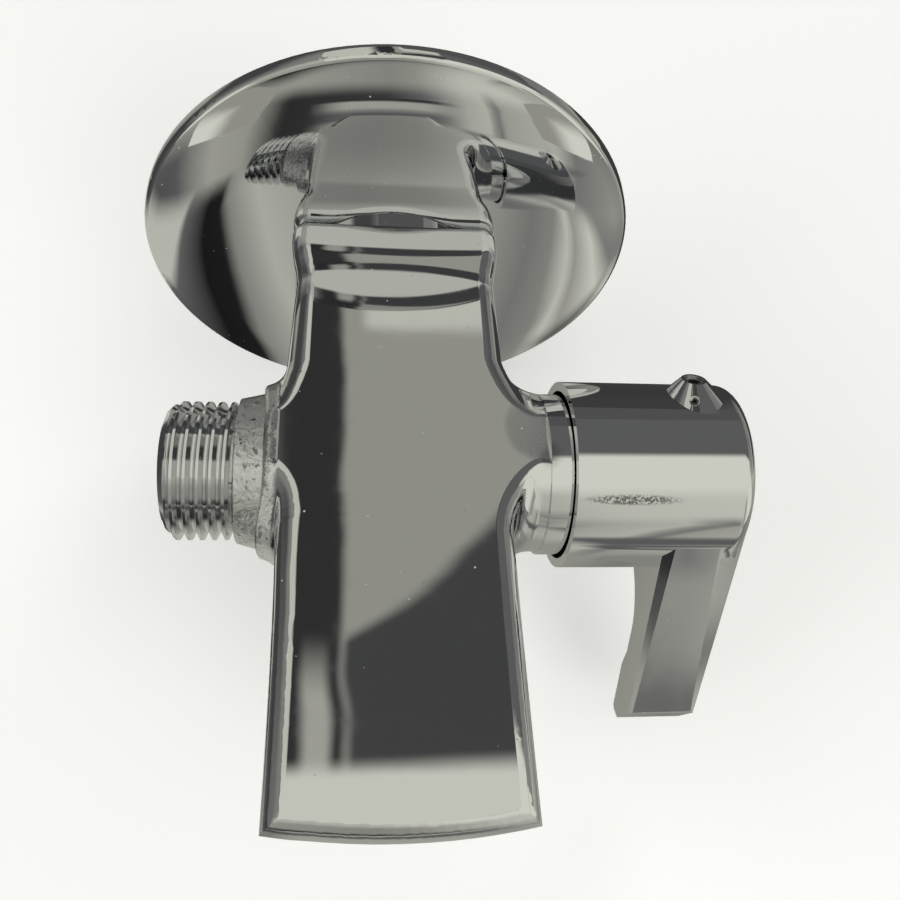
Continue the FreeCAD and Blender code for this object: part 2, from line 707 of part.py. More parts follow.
pad(spindle, "dog_pad", dog, "slotDepth - fitGap", Reversed=True)
flute = sketch(spindle, "flute", "YZ_Plane", [[
    ("splineRadius - fluteDepth", "0"),
    ("splineRadius + fluteDepth", "-fluteDepth * 1.2"),
    ("splineRadius + fluteDepth", "fluteDepth * 1.2"),
]], "spindleEnd")
flute_cut = pocket(spindle, "flute_cut", flute, "spindleEnd - splineStart")
flutes = spindle.newObject("PartDesign::PolarPattern", "spindle_flutes")
flutes.Originals = [flute_cut]
flutes.Axis = (flute, ["N_Axis"])
flutes.Angle = 360
flutes.Occurrences = int(number("fluteCount"))
spindle.Tip = flutes
doc.recompute()
for label, place in (("spindle_o_ring_inner", "ringOneX"), ("spindle_o_ring_outer", "ringTwoX")):
    ring(label, place, "spindleRadius + runGap / 2 - ringSection / 2 - fitGap / 2",
         "ringSection / 2 - fitGap / 2")
clip = spun("retaining_clip", [[
    ("headNeckEnd + 2 * runGap", "clipGrooveRadius + fitGap"),
    ("headNeckEnd + 2 * runGap", "clipRadius"),
    ("headNeckEnd + 2 * runGap + clipThick", "clipRadius"),
    ("headNeckEnd + 2 * runGap + clipThick", "clipGrooveRadius + fitGap"),
]])
mouth_gap = sketch(clip, "opening", "YZ_Plane", [[
    ("-clipOpening / 2", "0"), ("clipOpening / 2", "0"),
    ("clipOpening / 2", "2 * clipRadius"), ("-clipOpening / 2", "2 * clipRadius")]], "headNeckEnd")
pocket(clip, "opening_cut", mouth_gap, "4 * clipThick", Reversed=True)

# Handle, drawn with its lever straight down and turned to the photographed rest
handle = new_body("handle")
lever = sketch(handle, "lever", "YZ_Plane", [[
    ("leverFront", "0"),
    ("leverFront", "-leverFaceEnd"),
    ("leverFootFront", "-leverReach"),
    ("leverFootBack", "-leverReach"),
    ("leverFootBack", "-leverKink"),
    ("leverWaistBack", "-leverWaistEnd"),
    ("leverWaistBack", "-leverRootEnd", "leverRootSag"),
    ("leverRootBack", "-leverRootTop"),
    ("leverRootBack", "0"),
]], "leverLeft")
pad(handle, "lever_pad", lever, "handleEnd - leverLeft")


def on_lever_foot(edge):
    m = middle(edge)
    return edge.BoundBox.ZLength < 1e-3 and edge.BoundBox.YLength < 1e-3 and m.z < -number("leverKink") - 1


rounded(handle, "foot_round", "leverEndRound", on_lever_foot)
taper = sketch(handle, "taper", "XZ_Plane", [[
    ("handleEnd", "0"),
    ("leverTipRight", "-leverReach"),
    ("leverTipRight", "-2 * leverReach"),
    ("2 * handleEnd", "-2 * leverReach"),
    ("2 * handleEnd", "0"),
]])
pocket(handle, "taper_cut", taper, "4 * handleRadius", Midplane=True)


def bevel(name, edge_root, edge_tip, wide, deep, tip, side):
    """Cut one long front edge of the lever with a bevel that narrows to the tip."""
    sections = []
    ends = (("0", edge_root, wide, deep), ("-leverReach", edge_tip, tip, tip))
    for where, edge, across_x, along_y in ends:
        outer = "(%s) + (%s) * handleRound" % (edge, side)
        sections.append(sketch(handle, "%s_%d" % (name, len(sections)), "XY_Plane", [[
            ("(%s) - (%s) * (%s)" % (edge, side, across_x), "leverFront - handleRound"),
            (outer, "leverFront - handleRound"),
            (outer, "leverFront + (%s)" % along_y),
            (edge, "leverFront + (%s)" % along_y),
            ("(%s) - (%s) * (%s)" % (edge, side, across_x), "leverFront"),
        ]], where))
    before = handle.Shape.Volume
    cut = handle.newObject("PartDesign::SubtractiveLoft", "handle_" + name)
    cut.Profile = sections[0]
    cut.Sections = [sections[1]]
    cut.Ruled = True
    doc.recompute()
    if handle.Shape.Volume > before - 1e-6:
        raise RuntimeError("nothing cut by " + name)


bevel("bevel_left", "leverLeft", "leverLeft", "bevelLeftWide", "bevelLeftDeep", "bevelLeftTip", "-1")
bevel("bevel_right", "handleEnd", "leverTipRight", "bevelRightWide", "bevelRightDeep", "bevelRightTip", "1")
barrel = sketch(handle, "barrel", "XY_Plane", [[
    ("handleStart", "0"),
    ("handleStart", "handleRadius"),
    ("handleEnd - handleRound", "handleRadius", "handleRound * 0.293"),
    ("handleEnd", "handleRadius - handleRound"),
    ("handleEnd", "0"),
]])
revolve(handle, "barrel_solid", barrel)
foot = ring_sketch(handle, "boss_foot", "XY_Plane", ("screwX + bossFootShift", "0"), "bossFootRadius",
                   "handleRadius - bossSink")
crown = ring_sketch(handle, "boss_crown", "XY_Plane", ("screwX", "0"), "bossTopRadius",
                    "handleRadius + bossRise")
boss = handle.newObject("PartDesign::AdditiveLoft", "handle_boss")
boss.Profile = foot
boss.Sections = [crown]
doc.recompute()
skirt_inside = "(handleRadius - skirtWall)"
hollow_radius = "(handleRadius - barrelWall)"
inner = sketch(handle, "inner", "XY_Plane", [[
    ("handleStart - 1", "0"),
    ("handleStart - 1", skirt_inside),
    ("handleStart + skirtDepth", skirt_inside),
    ("handleStart + skirtDepth", hollow_radius),
    ("handleEnd - handleWall", hollow_radius),
    ("handleEnd - handleWall", "hubRadius"),
    ("hubStart", "hubRadius"),
    ("hubStart", "splineRadius + fitGap"),
    ("spindleEnd + 4 * fitGap", "splineRadius + fitGap"),
    ("spindleEnd + 4 * fitGap", "0"),
]])
revolve(handle, "inner_cut", inner, "Groove")
column = ring_sketch(handle, "column", "XY_Plane", ("screwX", "0"), "columnRadius", "hubRadius - 1")
pad(handle, "column_pad", column, "%s + 1 - hubRadius + 1" % hollow_radius)
tapped = ring_sketch(handle, "tapped", "XY_Plane", ("screwX", "0"), "screwRadius + fitGap")
pocket(handle, "tapped_cut", tapped, "2 * handleRadius", Reversed=True)
turned_to_rest = "placement(vector(0; %s; 0); rotation(vector(1; 0; 0); %s))"
handle.setExpression("Placement", turned_to_rest % (full("portY"), full("-leverTilt")))

# Set screw, from the spindle out to just under the boss's top
screw = new_body("set_screw")
screw_top = "(handleRadius + bossRise - screwRecess)"
shank = ring_sketch(screw, "shank", "XY_Plane", ("screwX", "0"), "screwRadius", "splineRadius + fitGap")
pad(screw, "shank_pad", shank, "%s - splineRadius - fitGap" % screw_top)
socket = sketch(screw, "socket", "XY_Plane", [hexagon_points("screwX", "0", "screwSocket")], screw_top)
pocket(screw, "socket_cut", socket, "screwSocketDepth")
screw.setExpression("Placement", turned_to_rest % (full("portY"), full("-leverTilt")))

# Mouthpiece under the tip, its outlines measured down from the port's level
seat_drop = "(-mouthBoreTop)"
washer_drop = "(-mouthBoreTop + aeratorWasherThick)"
rim_drop = "(-mouthBossBottom + fitGap)"
last_drop = "(-mouthBossBottom + fitGap + aeratorRimDepth)"
spun("aerator_washer", [[
    (seat_drop, "mouthThroatRadius"), (washer_drop, "mouthThroatRadius"),
    (washer_drop, "mouthBoreRadius - 2 * fitGap"), (seat_drop, "mouthBoreRadius - 2 * fitGap")]], "mouth")
spun("aerator_housing", [[
    (washer_drop, "mouthBoreRadius - fitGap - aeratorWall"),
    (washer_drop, "mouthBoreRadius - fitGap"),
    (rim_drop, "mouthBoreRadius - fitGap"),
    (rim_drop, "aeratorRimRadius"),
    ("%s - aeratorBevel" % last_drop, "aeratorRimRadius"),
    (last_drop, "aeratorRimRadius - aeratorBevel"),
    (last_drop, "mouthBoreRadius - aeratorWall - aeratorLip"),
    ("%s - aeratorLip" % last_drop, "mouthBoreRadius - aeratorWall - aeratorLip"),
    ("%s - aeratorLip" % last_drop, "mouthBoreRadius - fitGap - aeratorWall"),
]], "mouth")
screen_start = "(%s - aeratorLip - screenThick)" % last_drop
sieve_radius = "(mouthBoreRadius - 2 * fitGap - aeratorWall)"


def sieve(label, low, high, hole, rings, step):
    """A disc with rings of round holes."""
    body = spun(label, [[(low, "0"), (high, "0"), (high, sieve_radius), (low, sieve_radius)]], "mouth")
    sk = ring_sketch(body, "hole_centre", "YZ_Plane", ("0", "0"), hole, low)
    pocket(body, "hole_centre_cut", sk, "2 * (%s - %s)" % (high, low), Reversed=True)
    for turn_number in range(1, rings + 1):
        sk = ring_sketch(body, "hole_%d" % turn_number, "YZ_Plane",
                         ("0", "%s * %d" % (step, turn_number)), hole, low)
        cut = pocket(body, "hole_cut_%d" % turn_number, sk, "2 * (%s - %s)" % (high, low), Reversed=True)
        around_centre = body.newObject("PartDesign::PolarPattern", "%s_ring_%d" % (label, turn_number))
        around_centre.Originals = [cut]
        around_centre.Axis = (origin_feature(body, "X_Axis"), [""])
        around_centre.Angle = 360
        around_centre.Occurrences = 6 * turn_number
        body.Tip = around_centre
        doc.recompute()
    return body


insert_end = "(%s + insertThick)" % washer_drop
insert = sieve("aerator_insert", washer_drop, insert_end, "insertHole", 3, "insertStep")
screen_end = "(%s + screenThick)" % screen_start
screen = sieve("aerator_screen", screen_start, screen_end, "screenHole", 4, "screenStep")
doc.recompute()
failed = [o.Name for o in doc.Objects if {"Invalid", "Error"} & set(o.State)]
if failed:
    raise RuntimeError("failed objects: " + ", ".join(failed))
os.makedirs("parts", exist_ok=True)
bodies = [o for o in doc.Objects if o.TypeId == "PartDesign::Body"]
for body in bodies:
    if body.Shape.isNull() or not body.Shape.isValid():
        raise RuntimeError("bad shape: " + body.Label)
for body in bodies:
    body.Shape.exportStep("parts/%s.step" % body.Label)
    print(body.Label, round(body.Shape.Volume, 1), len(body.Shape.Solids))
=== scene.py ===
# Chrome angle valve: wall flange, flat spout, threaded side outlet and a lever.
# Metres, +Z up, +Y into the wall, +X towards the lever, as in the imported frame.
import math

import bpy
from mathutils import Matrix, Vector


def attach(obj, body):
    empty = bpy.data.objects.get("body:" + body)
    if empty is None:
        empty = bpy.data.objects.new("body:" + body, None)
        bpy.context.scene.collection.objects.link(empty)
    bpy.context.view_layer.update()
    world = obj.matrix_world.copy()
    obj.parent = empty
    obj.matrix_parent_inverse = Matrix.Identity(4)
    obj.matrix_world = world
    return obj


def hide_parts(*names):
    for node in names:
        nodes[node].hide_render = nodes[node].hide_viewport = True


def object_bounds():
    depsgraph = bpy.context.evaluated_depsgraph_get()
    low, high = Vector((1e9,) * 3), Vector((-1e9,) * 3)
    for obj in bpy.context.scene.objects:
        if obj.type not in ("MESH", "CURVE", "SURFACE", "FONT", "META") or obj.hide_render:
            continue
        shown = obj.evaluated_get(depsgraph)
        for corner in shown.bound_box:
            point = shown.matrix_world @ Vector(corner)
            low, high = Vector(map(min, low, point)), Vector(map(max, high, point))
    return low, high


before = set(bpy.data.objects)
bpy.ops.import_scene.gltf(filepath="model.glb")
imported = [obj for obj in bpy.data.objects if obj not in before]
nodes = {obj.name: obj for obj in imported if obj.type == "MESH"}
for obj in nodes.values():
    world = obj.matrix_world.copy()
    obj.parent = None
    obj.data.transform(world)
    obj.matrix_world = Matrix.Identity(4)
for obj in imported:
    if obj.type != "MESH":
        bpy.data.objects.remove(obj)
cadBox = [list(corner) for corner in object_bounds()]
print("frame loaded:", len(nodes), "nodes")

meshSizes = {
    "weld": 0.000002,       # vertices closer than this are one
    "touch": 0.00001,       # closer than this counts as on a plane
    "castingAngle": 28,     # degrees up to which a casting shades smooth
    "ridgeAngle": 25,
    "flatWeight": 80,
}


# picking and tidying, used by every piece

def deselectAll():
    if bpy.context.object and bpy.context.object.mode != "OBJECT":
        bpy.ops.object.mode_set(mode="OBJECT")
    bpy.ops.object.select_all(action="DESELECT")


def makeActive(piece):
    deselectAll()
    piece.select_set(True)
    bpy.context.view_layer.objects.active = piece


def pickVerts(piece, rule):
    # leaves edit mode in vertex select, with the vertices that pass the rule picked
    makeActive(piece)
    bpy.ops.object.mode_set(mode="EDIT")
    bpy.ops.mesh.select_mode(type="VERT")
    bpy.ops.mesh.select_all(action="DESELECT")
    bpy.ops.object.mode_set(mode="OBJECT")
    for vert in piece.data.vertices:
        vert.select = bool(rule(vert.co))
    bpy.ops.object.mode_set(mode="EDIT")


def applyPlace(piece):
    makeActive(piece)
    bpy.ops.object.transform_apply(location=True, rotation=True, scale=True)


def applyModifier(piece, kind, **settings):
    makeActive(piece)
    modifier = piece.modifiers.new(kind.lower(), kind)
    for key, value in settings.items():
        setattr(modifier, key, value)
    bpy.ops.object.modifier_apply(modifier=modifier.name)


def facingFaces(piece, angle, turned=False):
    # smooth within the angle, then weighted by area so that the flats of a casting shade flat
    makeActive(piece)
    bpy.ops.object.shade_smooth_by_angle(angle=math.radians(angle))
    if not turned:
        applyModifier(piece, "WEIGHTED_NORMAL", mode="FACE_AREA", weight=meshSizes["flatWeight"], keep_sharp=True)


def smoothCopy(nodeName, pieceName, body, angle=meshSizes["castingAngle"], turned=False):
    # a welded copy of a node, shaded smooth with the flat faces kept flat
    piece = nodes[nodeName].copy()
    piece.data = nodes[nodeName].data.copy()
    piece.name = pieceName
    piece.parent = None
    for key in list(piece.keys()):
        del piece[key]
    bpy.context.scene.collection.objects.link(piece)
    makeActive(piece)
    bpy.ops.object.mode_set(mode="EDIT")
    bpy.ops.mesh.select_all(action="SELECT")
    bpy.ops.mesh.remove_doubles(threshold=meshSizes["weld"])
    bpy.ops.object.mode_set(mode="OBJECT")
    if piece.data.has_custom_normals:
        bpy.ops.mesh.customdata_custom_splitnormals_clear()
    facingFaces(piece, angle, turned)
    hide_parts(nodeName)
    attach(piece, body)
    return piece


# camera

cameraSizes = {
    "place": (-0.0080, -0.1117, 0.1265),
    "down": 60.56,    # degrees below level
    "yaw": 13.45,     # degrees from +Y towards +X
    "roll": 12.51,
    "lens": 36.70,
}
down = math.radians(cameraSizes["down"])
yaw = math.radians(cameraSizes["yaw"])
roll = math.radians(cameraSizes["roll"])
ahead = Vector((math.sin(yaw) * math.cos(down), math.cos(yaw) * math.cos(down), -math.sin(down)))
levelRight = Vector((math.cos(yaw), -math.sin(yaw), 0))
levelUp = levelRight.cross(ahead)
cameraX = levelRight * math.cos(roll) + levelUp * math.sin(roll)
cameraY = levelUp * math.cos(roll) - levelRight * math.sin(roll)
bpy.ops.object.camera_add()
camera = bpy.context.object
camera.name = "photoCamera"
cameraTurn = Matrix((cameraX, cameraY, -ahead)).transposed().to_4x4()
camera.matrix_world = Matrix.Translation(cameraSizes["place"]) @ cameraTurn
camera.data.lens = cameraSizes["lens"]
camera.data.sensor_width = 36
camera.data.clip_start = 0.01
bpy.context.scene.camera = camera
print("camera placed")


# shader helper

class Wire:
    # one output socket, with arithmetic that adds Math nodes

    def __init__(self, shader, socket):
        self.shader = shader
        self.socket = socket

    def math(self, operation, *others):
        values = [self.socket] + [other.socket if isinstance(other, Wire) else other for other in others]
        return self.shader.node("ShaderNodeMath", {"operation": operation}, values)

    def __add__(self, other):
        return self.math("ADD", other)

    def __radd__(self, other):
        return self.math("ADD", other)

    def __sub__(self, other):
        return self.math("SUBTRACT", other)

    def __rsub__(self, other):
        return (self * -1) + other

    def __mul__(self, other):
        return self.math("MULTIPLY", other)

    def __rmul__(self, other):
        return self.math("MULTIPLY", other)

    def __truediv__(self, other):
        return self.math("DIVIDE", other)

    def between(self, low, high):
        # 0 at low, 1 at high, smooth and held outside
        wire = self.shader.node("ShaderNodeMapRange", {"interpolation_type": "SMOOTHSTEP", "clamp": True},
                                {"Value": self, "From Min": low, "From Max": high, "To Min": 0.0, "To Max": 1.0},
                                output="Result")
        return wire


class Shader:
    # one material or world tree, whose nodes all come from node()

    def __init__(self, owner):
        owner.use_nodes = True
        self.owner = owner
        self.tree = owner.node_tree
        self.tree.nodes.clear()

    def node(self, kind, settings=None, values=(), output=0):
        item = self.tree.nodes.new(kind)
        for key, value in (settings or {}).items():
            if key == "stops":
                while len(item.color_ramp.elements) < len(value):
                    item.color_ramp.elements.new(0.5)
                for element, (place, colour) in zip(item.color_ramp.elements, value):
                    element.position = place
                    element.color = colour
            else:
                setattr(item, key, value)
        pairs = values.items() if isinstance(values, dict) else enumerate(values)
        for key, value in pairs:
            if isinstance(value, Wire):
                value = value.socket
            if isinstance(value, bpy.types.NodeSocket):
                self.tree.links.new(value, item.inputs[key])
            else:
                item.inputs[key].default_value = value
        return Wire(self, item.outputs[output]) if len(item.outputs) else None

    def place(self):
        return self.node("ShaderNodeTexCoord", output="Object")

    def noise(self, scale, detail=2.0, rough=0.5, vector=None):
        return self.node("ShaderNodeTexNoise", None,
                         {"Vector": vector or self.place(), "Scale": scale, "Detail": detail, "Roughness": rough},
                         output=0)

    def mixColour(self, amount, low, high):
        return self.node("ShaderNodeMix", {"data_type": "RGBA"}, {0: amount, 6: low, 7: high}, output=2)

    def axes(self):
        # the place as three numbers, in metres
        split = self.node("ShaderNodeSeparateXYZ", None, [self.place()])
        return [Wire(self, split.socket.node.outputs[name]) for name in ("X", "Y", "Z")]

    def ball(self, centre, radius, soft, stretch=(1, 1, 1)):
        # 1 inside a ball, or an ellipsoid when stretched, fading to 0 over the soft width
        offset = self.node("ShaderNodeVectorMath", {"operation": "SUBTRACT"}, [self.place(), centre])
        squeezed = self.node("ShaderNodeVectorMath", {"operation": "DIVIDE"}, [offset, stretch])
        away = self.node("ShaderNodeVectorMath", {"operation": "LENGTH"}, [squeezed], output="Value")
        return 1 - away.between(radius - soft / 2, radius + soft / 2)

    def finish(self, values, normal=None):
        if normal is not None:
            values["Normal"] = normal
        bsdf = self.node("ShaderNodeBsdfPrincipled", None, values)
        self.node("ShaderNodeOutputMaterial", None, {"Surface": bsdf})
        return self.owner


def newShader(name):
    return Shader(bpy.data.materials.new(name))


# finishes

chromeTone = (0.74, 0.75, 0.76, 1)
dustTone = (0.62, 0.60, 0.57, 1)
darkTone = (0.05, 0.05, 0.055, 1)


chromeSizes = {
    "swellScale": 55, "rippleScale": 160, "rippleShare": 0.12,
    "hazeScale": 260, "hazeRough": 0.03,
    "dustScale": 520.0, "dustHeight": 0.00002, "dustRough": 0.5,
}


def dustSpecks(shader, amount, scale=chromeSizes["dustScale"]):
    # small pale grains, thinly spread
    cells = shader.node("ShaderNodeTexVoronoi", {"feature": "F1"},
                        {"Vector": shader.place(), "Scale": scale, "Randomness": 1.0}, output="Distance")
    rare = shader.noise(scale * 1.7, 0.0).between(0.60, 0.66)
    return (1 - cells.between(0.04, 0.09)) * rare * amount


def chromeFinish(name, wave=0.00004, dust=1.0, tone=chromeTone, rough=0.03, marks=None):
    # marks(shader) gives rough, dark and height wires for the wear of one piece, and for painted shade where a
    # piece has it
    shader = newShader(name)
    swell = shader.noise(chromeSizes["swellScale"], 1.0) * wave \
        + shader.noise(chromeSizes["rippleScale"], 1.0) * (wave * chromeSizes["rippleShare"])
    haze = shader.noise(chromeSizes["hazeScale"], 3.0, 0.6).between(0.45, 0.8)
    dots = dustSpecks(shader, dust)
    height = swell + dots * chromeSizes["dustHeight"]
    roughness = rough + haze * chromeSizes["hazeRough"] + dots * chromeSizes["dustRough"]
    colour = shader.mixColour(dots, tone, dustTone)
    if marks:
        worn, dark, relief = marks(shader)
        roughness = roughness + worn
        height = height + relief
        colour = shader.mixColour(dark, colour, darkTone)
    bump = shader.node("ShaderNodeBump", None, {"Strength": 1.0, "Distance": 1.0, "Height": height})
    return shader.finish({"Base Color": colour, "Metallic": 1.0 - dots * 0.8, "Roughness": roughness}, bump)


castingMarks = {
    "neckFrom": -0.0246, "neckTo": -0.0186,     # the rough casting between arm and thread
    "satinPlace": (0.0187, -0.0446, 0.0118), "satinRadius": 0.0042,
}


def castingWear(shader):
    x, y, z = shader.axes()
    neck = x.between(castingMarks["neckFrom"], castingMarks["neckFrom"] + 0.0006) \
        * (1 - x.between(castingMarks["neckTo"], castingMarks["neckTo"] + 0.0014)) \
        * y.between(-0.062, -0.058)
    grain = shader.noise(900, 4.0, 0.7)
    coarse = shader.noise(420, 2.0, 0.6)
    satin = shader.ball(castingMarks["satinPlace"], castingMarks["satinRadius"], 0.0022, (0.8, 1.1, 0.6))
    brushed = shader.node("ShaderNodeVectorMath", {"operation": "MULTIPLY"}, [shader.place(), (400, 6000, 400)])
    streaks = shader.noise(1.0, 3.0, 0.6, brushed)
    worn = neck * grain * 0.35 + satin * (0.16 + streaks * 0.12)
    dark = neck * grain.between(0.56, 0.66) * 0.75
    relief = neck * (grain * 0.00022 + coarse * 0.0003) + satin * streaks * 0.000012
    return worn, dark, relief


leverMarks = {
    # the pit is dented and painted dark as painted shade; the scuff is real wear
    "shadedPitPlace": (0.04386, -0.04144, 0.01467), "shadedPitRadius": 0.00055,
    "scuffPlace": (0.0335, -0.0561, 0.0109), "scuffRadius": 0.0007,
}


def leverWearAndPitShade(shader):
    # a small dented pit at the boss's foot, painted dark: painted shade in the pit
    pit = shader.ball(leverMarks["shadedPitPlace"], leverMarks["shadedPitRadius"], 0.0005)
    scuff = shader.ball(leverMarks["scuffPlace"], leverMarks["scuffRadius"], 0.0005, (9.0, 1, 1))
    grain = shader.noise(2600, 3.0, 0.7)
    flecks = scuff * grain.between(0.46, 0.56)
    x, y, z = shader.axes()
    satin = 1 - z.between(-0.003, 0.003)        # the lever's own faces are less bright than the barrel
    # the dark wire is painted shade in the pit plus darker scuff grains
    return flecks * 0.4 + satin * 0.13, pit * 0.9 + flecks * 0.7, flecks * -0.00005 - pit * 0.0002


def plainFinish(name, colour, metallic, rough, grain=400.0, bumpHeight=0.00001):
    shader = newShader(name)
    tone = shader.noise(grain, 3.0)
    darker = tuple(part * 0.82 for part in colour[:3]) + (1,)
    bump = shader.node("ShaderNodeBump", None,
                       {"Strength": 1.0, "Distance": 1.0, "Height": shader.noise(grain * 3, 2.0) * bumpHeight})
    return shader.finish({
        "Base Color": shader.mixColour(tone, darker, colour),
        "Metallic": metallic,
        "Roughness": rough + tone * 0.1,
    }, bump)


finishes = {
    "casting": chromeFinish("polishedCasting", marks=castingWear),
    "thread": chromeFinish("chromedThread", wave=0.00002, dust=0.5, rough=0.09),
    "sheet": chromeFinish("polishedSheet", wave=0.00003, dust=0.6),
    "trim": chromeFinish("polishedTrim", wave=0.00001, dust=0.4),
    "lever": chromeFinish("polishedLever", wave=0.00003, marks=leverWearAndPitShade),
    "brass": plainFinish("turnedBrass", (0.62, 0.46, 0.21, 1), 1.0, 0.25),
    "alumina": plainFinish("lappedAlumina", (0.85, 0.84, 0.80, 1), 0.0, 0.2),
    "rubber": plainFinish("blackRubber", (0.03, 0.03, 0.03, 1), 0.0, 0.6),
    "steel": plainFinish("plainSteel", (0.36, 0.36, 0.37, 1), 1.0, 0.3),
    "acetal": plainFinish("mouldedAcetal", (0.82, 0.82, 0.79, 1), 0.0, 0.4),
}


def paint(piece, finish):
    piece.data.materials.clear()
    piece.data.materials.append(finishes[finish])


hiddenFinishes = {
    "cartridge_housing": "brass", "spindle": "brass", "fixed_disc": "alumina", "moving_disc": "alumina",
    "seat_seal": "rubber", "housing_o_ring": "rubber", "spindle_o_ring_inner": "rubber",
    "spindle_o_ring_outer": "rubber", "aerator_washer": "rubber", "retaining_clip": "steel",
    "set_screw": "steel", "thrust_washer": "acetal", "aerator_insert": "acetal", "aerator_screen": "steel",
}
for nodeName, finish in hiddenFinishes.items():
    paint(nodes[nodeName], finish)
print("finishes made")

# main pieces

body = smoothCopy("valve_body", "castBody", "valve")
flange = smoothCopy("wall_flange", "domedFlange", "valve", turned=True)
collar = smoothCopy("trim_collar", "trimRing", "valve")
mouthpiece = smoothCopy("aerator_housing", "mouthRing", "valve")
handle = smoothCopy("handle", "leverHandle", "lever")
shownFinishes = ((body, "casting"), (flange, "sheet"), (collar, "trim"), (mouthpiece, "trim"), (handle, "lever"))
for piece, finish in shownFinishes:
    paint(piece, finish)
print("main pieces smoothed")


# fuller blends and left side of the casting

# each swell: a place in x and y that it fades away from, its reach, and the move in x and y, in metres
bodySwells = {
    "leftBack": {"place": (-0.0175, -0.0350), "reach": 0.0070, "move": (-0.0010, 0.0014)},
    "rightBack": {"place": (0.0185, -0.0342), "reach": 0.0065, "move": (0.0006, 0.0014)},
    "leftFront": {"place": (-0.0175, -0.0580), "reach": 0.0070, "move": (-0.0008, -0.0014)},
}
spoutSwell = {"move": (-0.0013, 0), "from": -0.054, "full": -0.064, "tip": -0.101, "tipShare": 0.55,
              "inner": -0.0105, "outer": -0.0140}
mouthSizes = {"y": -0.0843, "reach": 0.0135, "top": -0.004}


def smoothStep(share):
    share = min(max(share, 0.0), 1.0)
    return share * share * (3 - 2 * share)


def spoutWeight(co):
    # the spout's left side, leaving the mouth's boss alone
    if co.z < mouthSizes["top"] and math.hypot(co.x, co.y - mouthSizes["y"]) < mouthSizes["reach"]:
        return 0.0
    across = smoothStep((spoutSwell["inner"] - co.x) / (spoutSwell["inner"] - spoutSwell["outer"]))
    start = smoothStep((spoutSwell["from"] - co.y) / (spoutSwell["from"] - spoutSwell["full"]))
    along = min(max((spoutSwell["full"] - co.y) / (spoutSwell["full"] - spoutSwell["tip"]), 0.0), 1.0)
    return across * start * (1 + (spoutSwell["tipShare"] - 1) * along)


def swellOut(piece, name, weight, move):
    # a weighted displace along x and along y
    group = piece.vertex_groups.new(name=name)
    for vert in piece.data.vertices:
        share = weight(vert.co)
        if share > 0.001:
            group.add([vert.index], share, "REPLACE")
    for axis, amount in zip(("X", "Y"), move):
        if amount:
            applyModifier(piece, "DISPLACE", direction=axis, mid_level=0.0, strength=amount, vertex_group=name)
    piece.vertex_groups.clear()


for name, swell in bodySwells.items():
    centre, reach = swell["place"], swell["reach"]
    swellOut(body, name, lambda co: smoothStep(1 - math.hypot(co.x - centre[0], co.y - centre[1]) / reach),
             swell["move"])
swellOut(body, "spoutSide", spoutWeight, spoutSwell["move"])
print("casting filled out")


# pipe threads

threadSizes = {
    "crest": 0.010478,
    "core": 0.009316,
    "barInner": 0.0085, "barOuter": 0.0107,     # the plain bar's skin lies between these
    "over": 0.00012,      # how far the envelope stands over the crest
    "pitch": 0.001814,
    "rootWide": 0.00172,
    "crestWide": 0.00040,
    "sunk": 0.00020,      # how far the ridge stands in the core
    "lead": 0.0019,       # run-in at the open end
    "fade": 0.0011,       # run-out at the neck
    "steps": 72,
    "portY": -0.0464,
    "outletFrom": -0.02345, "outletTo": -0.03445,
    "inletFrom": 0.0, "inletTo": 0.0130,
}


def cutToCore(inside, scale, centre):
    # the plain bar on the body goes down to the thread's core
    pickVerts(body, inside)
    bpy.ops.transform.resize(value=scale, center_override=centre)
    bpy.ops.object.mode_set(mode="OBJECT")


shrink = threadSizes["core"] / threadSizes["crest"]
portY = threadSizes["portY"]


def onOutletBar(co):
    away = math.hypot(co.y - portY, co.z)
    return co.x < threadSizes["outletFrom"] + meshSizes["touch"] \
        and threadSizes["barInner"] < away < threadSizes["barOuter"]


def onInletBar(co):
    away = math.hypot(co.x, co.z)
    return co.y > threadSizes["inletFrom"] - meshSizes["touch"] \
        and threadSizes["barInner"] < away < threadSizes["barOuter"]


cutToCore(onOutletBar, (1, shrink, shrink), (0, portY, 0))
cutToCore(onInletBar, (shrink, 1, shrink), (0, 0, 0))
facingFaces(body, meshSizes["castingAngle"])


def turnedEnvelope(length):
    # what the ridge may fill: a bar from x 0 to -length with both ends bevelled
    radius = threadSizes["crest"] + threadSizes["over"]
    deselectAll()
    bpy.ops.mesh.primitive_cylinder_add(vertices=96, radius=radius, depth=length,
                                        location=(-length / 2, 0, 0), rotation=(0, math.pi / 2, 0))
    bar = bpy.context.object
    applyPlace(bar)
    for where, wide in ((-length, threadSizes["lead"]), (0, threadSizes["fade"])):
        pickVerts(bar, lambda co: abs(co.x - where) < meshSizes["touch"])
        bpy.ops.mesh.bevel(offset=wide, offset_type="OFFSET", segments=1, affect="EDGES")
        bpy.ops.object.mode_set(mode="OBJECT")
    return bar


